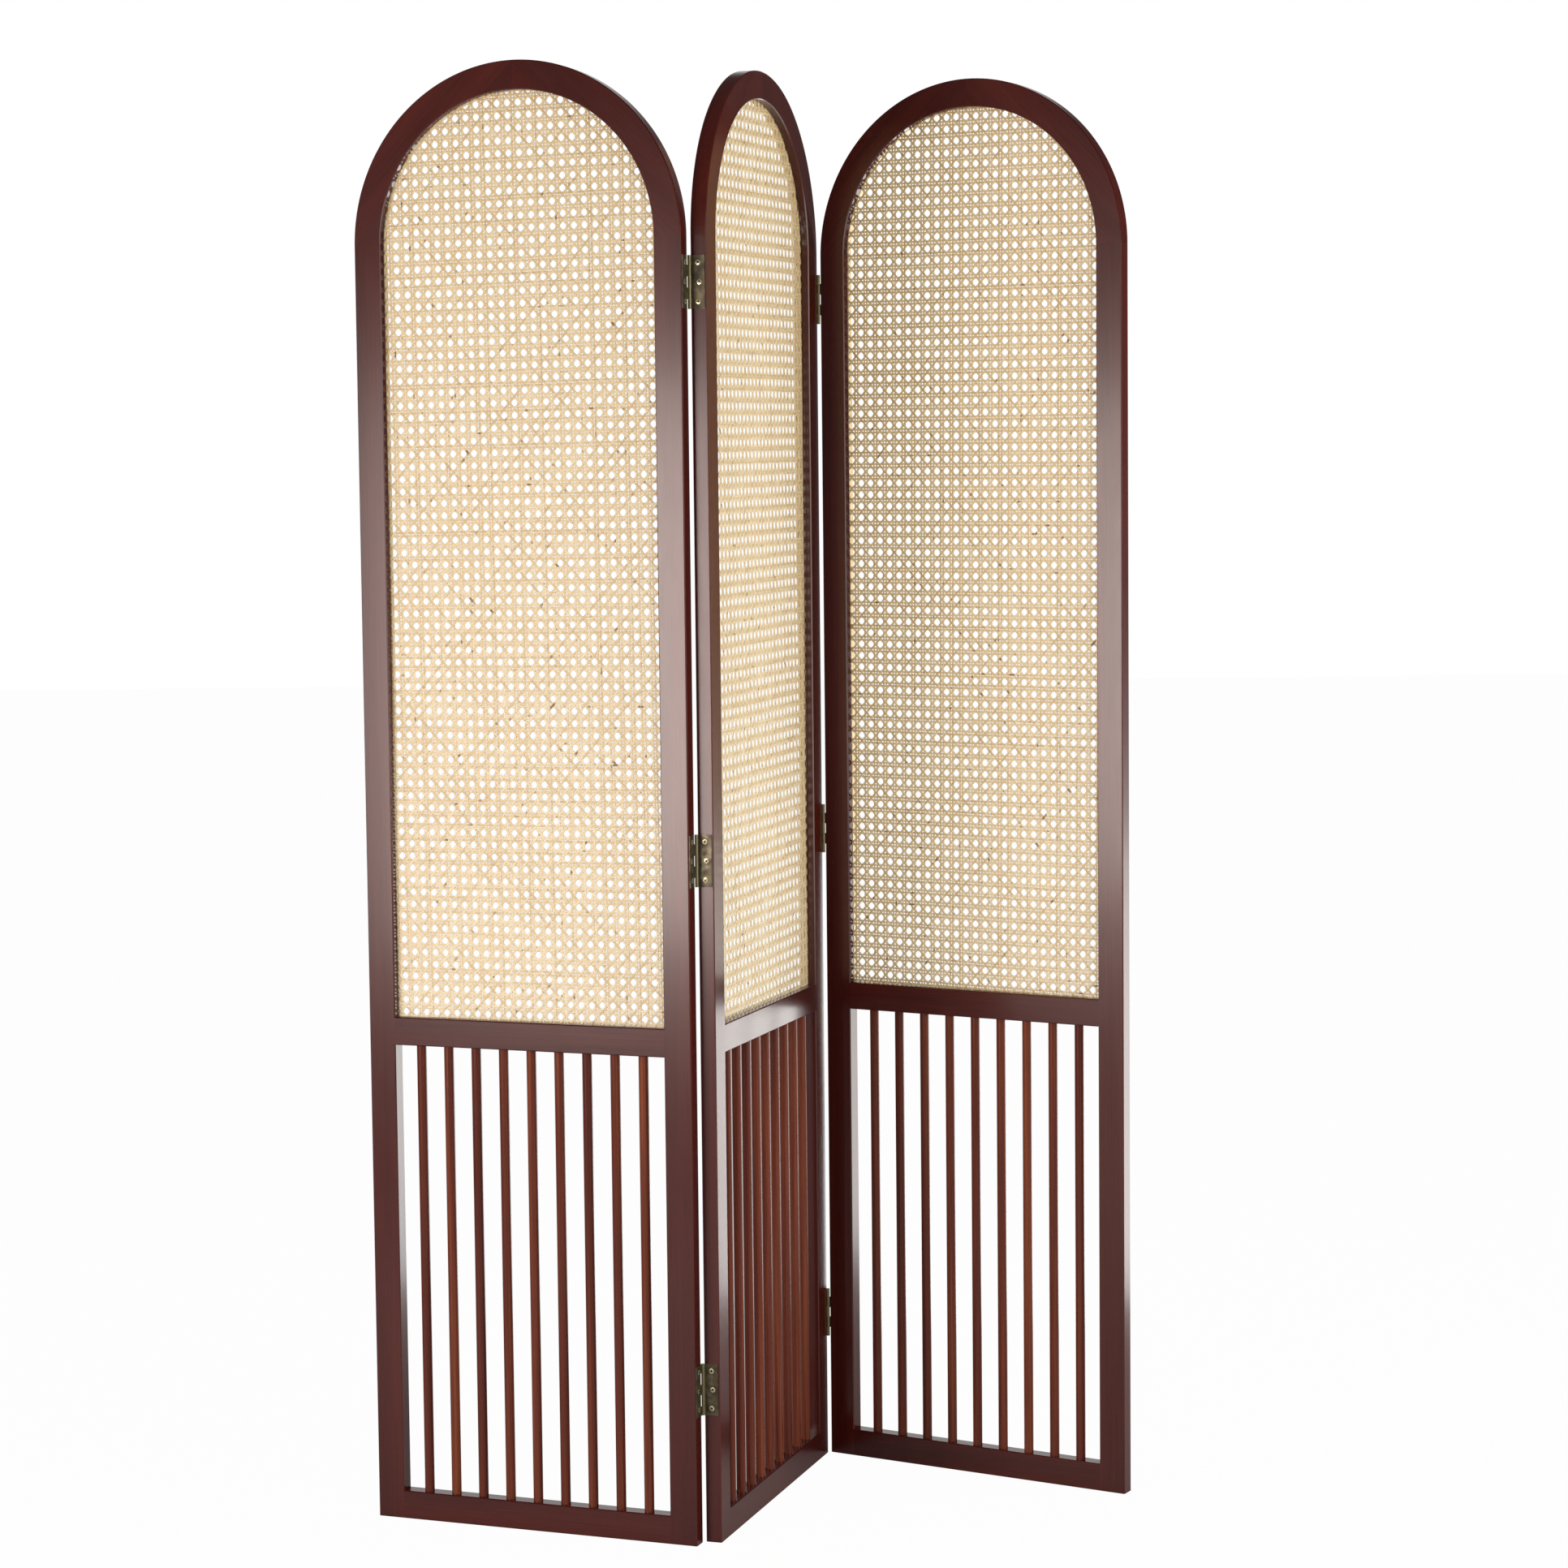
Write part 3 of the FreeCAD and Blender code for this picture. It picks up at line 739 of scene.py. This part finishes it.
for order, panel in enumerate(panels):
    for place, (set_name, (tree, values)) in enumerate(strand_sets(panel).items()):
        piece = grown(f"{panel}_panel_cane_{set_name}", tree, {**values, "Seed": 10 * order + place})
        piece.data.transform(stands[panel])
        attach(piece, f"{panel}_panel")
        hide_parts(f"{panel}_panel_cane")
        print(piece.name, triangles(piece), "triangles")

# %% [markdown]
# ## Cross-head screws
# Each hinge leaf is held by three brass countersunk screws with a cross recess. The CAD screws are plain
# cones, so their heads are found again here and a finer screw is set on each. One tree models the screw: a
# cylinder whose top swells into a low dome and whose foot tapers, with two crossing slots cut out by a
# Boolean. The slots carry a dark finish of painted shade, which the cut leaves on the walls of the recess.
# The screw is then placed on every head, turned by its own chance angle, as screws stop wherever they bite.

# %% Screw sizes
head_radius = 0.0032
head_depth = 0.0016
head_sides, head_rings = 32, 3
dome_height = 0.0003
shank_radius = 0.0016
shank_length = 0.0150
shank_sides = 16
slot_length = 0.0042
slot_width = 0.0012
slot_depth = 0.0013
screw_gap = 0.005


def screw_places(panel):
    """The middle of each screw head in the panel's frame, and the side of the panel it faces."""
    stand = np.array(stands[panel])
    spots = (corners_of(f"{panel}_panel_hinge_screws") - stand[:3, 3]) @ stand[:3, :3]
    places = []
    for side in (-1.0, 1.0):
        own = spots[spots[:, 0] * side > 0]
        own = own[np.argsort(own[:, 1])]
        breaks = np.flatnonzero(np.diff(own[:, 1]) > screw_gap) + 1
        for screw in np.split(own, breaks) if len(own) else []:
            middle = (screw.min(0) + screw.max(0)) / 2
            places.append((side, side * abs(screw[:, 0]).max(), middle[1], middle[2]))
    return places


# %% Screw tree
def domed_head(tree, given):
    """A screw head: a low dome on top, and a cone that narrows to the shank below."""
    sizes = {"Vertices": head_sides, "Fill Segments": head_rings, "Radius": given["Head radius"],
             "Depth": given["Head depth"]}
    blank = out(tree, "GeometryNodeMeshCylinder", sizes, "Mesh")
    where = parts(tree, out(tree, "GeometryNodeInputPosition"))
    sideways = calc(tree, "MULTIPLY", where["Y"], where["Y"])
    square = calc(tree, "MULTIPLY_ADD", where["X"], where["X"], sideways)
    share = calc(tree, "DIVIDE", square, calc(tree, "MULTIPLY", given["Head radius"], given["Head radius"]))
    swell = calc(tree, "MULTIPLY", given["Dome"], calc(tree, "SUBTRACT", 1.0, share))
    taper = calc(tree, "DIVIDE", given["Shank radius"], given["Head radius"])
    narrow_x, narrow_y = (calc(tree, "MULTIPLY", where[axis], taper) for axis in "XY")
    choice = {"Switch": calc(tree, "GREATER_THAN", where["Z"], 0.0),
              "False": point(tree, narrow_x, narrow_y, calc(tree, "MULTIPLY", given["Head depth"], -1.0)),
              "True": point(tree, where["X"], where["Y"], swell)}
    shaped = out(tree, "GeometryNodeSwitch", choice, input_type="VECTOR")
    return out(tree, "GeometryNodeSetPosition", {"Geometry": blank, "Position": shaped})


def painted(tree, geometry, material):
    """The geometry with a finish on all its faces."""
    return out(tree, "GeometryNodeSetMaterial", {"Geometry": geometry, "Material": material})


def screw_tree():
    """A cross-head screw on every point of a mesh, facing along the point's own `facing` attribute."""
    lengths = ("Head radius", "Head depth", "Dome", "Shank radius", "Shank length", "Slot length",
               "Slot width", "Slot depth")
    inputs = {**dict.fromkeys(lengths, "Float"), "Seed": "Int", "Material": "Material",
              "Recess shade material": "Material"}
    tree, given = named_tree("cross_head_screws", inputs)
    head = painted(tree, domed_head(tree, given), given["Material"])
    bar = point(tree, given["Slot length"], given["Slot width"],
                calc(tree, "MULTIPLY", given["Slot depth"], 2.0))
    slot = out(tree, "GeometryNodeMeshCube", {"Size": bar}, "Mesh")
    slot = painted(tree, slot, given["Recess shade material"])
    quarter_turn = (0.0, 0.0, math.pi / 2)
    crossing = out(tree, "GeometryNodeTransform", {"Geometry": slot, "Rotation": quarter_turn})
    cut = add(tree, "GeometryNodeMeshBoolean", {"Mesh 1": head}, operation="DIFFERENCE", solver="EXACT")
    tree.links.new(slot, cut.inputs["Mesh 2"])
    tree.links.new(crossing, cut.inputs["Mesh 2"])
    sizes = {"Vertices": shank_sides, "Radius": given["Shank radius"], "Depth": given["Shank length"]}
    shank = out(tree, "GeometryNodeMeshCylinder", sizes, "Mesh")
    drop = calc(tree, "MULTIPLY", given["Head depth"], -1.0)
    drop = point(tree, z=calc(tree, "MULTIPLY_ADD", given["Shank length"], -0.5, drop))
    shank = out(tree, "GeometryNodeTransform", {"Geometry": shank, "Translation": drop})
    screw = add(tree, "GeometryNodeJoinGeometry")
    tree.links.new(cut.outputs["Mesh"], screw.inputs[0])
    tree.links.new(painted(tree, shank, given["Material"]), screw.inputs[0])
    named = {"Name": "facing"}
    facing = out(tree, "GeometryNodeInputNamedAttribute", named, "Attribute", data_type="FLOAT_VECTOR")
    outwards = out(tree, "FunctionNodeAlignRotationToVector", {"Vector": facing}, axis="Z")
    limits = {2: 0.0, 3: math.pi / 2, "Seed": given["Seed"]}
    chance = out(tree, "FunctionNodeRandomValue", limits, 1, data_type="FLOAT")
    spin = out(tree, "FunctionNodeAxisAngleToRotation", {"Axis": (0.0, 0.0, 1.0), "Angle": chance})
    spinning = {"Rotation": outwards, "Rotate By": spin}
    turned = out(tree, "FunctionNodeRotateRotation", spinning, rotation_space="LOCAL")
    heads = out(tree, "GeometryNodeMeshToPoints", {"Mesh": given["Geometry"]})
    placing = {"Points": heads, "Instance": screw.outputs[0], "Rotation": turned}
    placed = out(tree, "GeometryNodeInstanceOnPoints", placing)
    placed = out(tree, "GeometryNodeRealizeInstances", {"Geometry": placed})
    recessed = out(tree, "GeometryNodeMaterialSelection", {"Material": given["Recess shade material"]})
    outer = out(tree, "FunctionNodeBooleanMath", {0: recessed}, operation="NOT")
    brass = {"Geometry": placed, "Selection": outer, "Material": given["Material"]}
    placed = out(tree, "GeometryNodeSetMaterial", brass)
    tree.links.new(placed, tree.nodes.new("NodeGroupOutput").inputs[0])
    return tree


# %% Set the screws
screws = screw_tree()
screw_values = {"Head radius": head_radius, "Head depth": head_depth, "Dome": dome_height,
                "Shank radius": shank_radius, "Shank length": shank_length, "Slot length": slot_length,
                "Slot width": slot_width, "Slot depth": slot_depth, "Material": screw_brass,
                "Recess shade material": screw_recess_shade}
for order, panel in enumerate(panels):
    places = screw_places(panel)
    heads = bpy.data.meshes.new(f"{panel}_screw_heads")
    heads.from_pydata([place[1:] for place in places], [], [])
    facing = heads.attributes.new("facing", "FLOAT_VECTOR", "POINT")
    facing.data.foreach_set("vector", np.array([(place[0], 0.0, 0.0) for place in places]).ravel())
    piece = grown(f"{panel}_panel_cross_head_screws", screws, {**screw_values, "Seed": order}, heads)
    piece.data.transform(stands[panel])
    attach(piece, f"{panel}_panel")
    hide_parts(f"{panel}_panel_hinge_screws")
    print(piece.name, len(places), "screws", triangles(piece), "triangles")
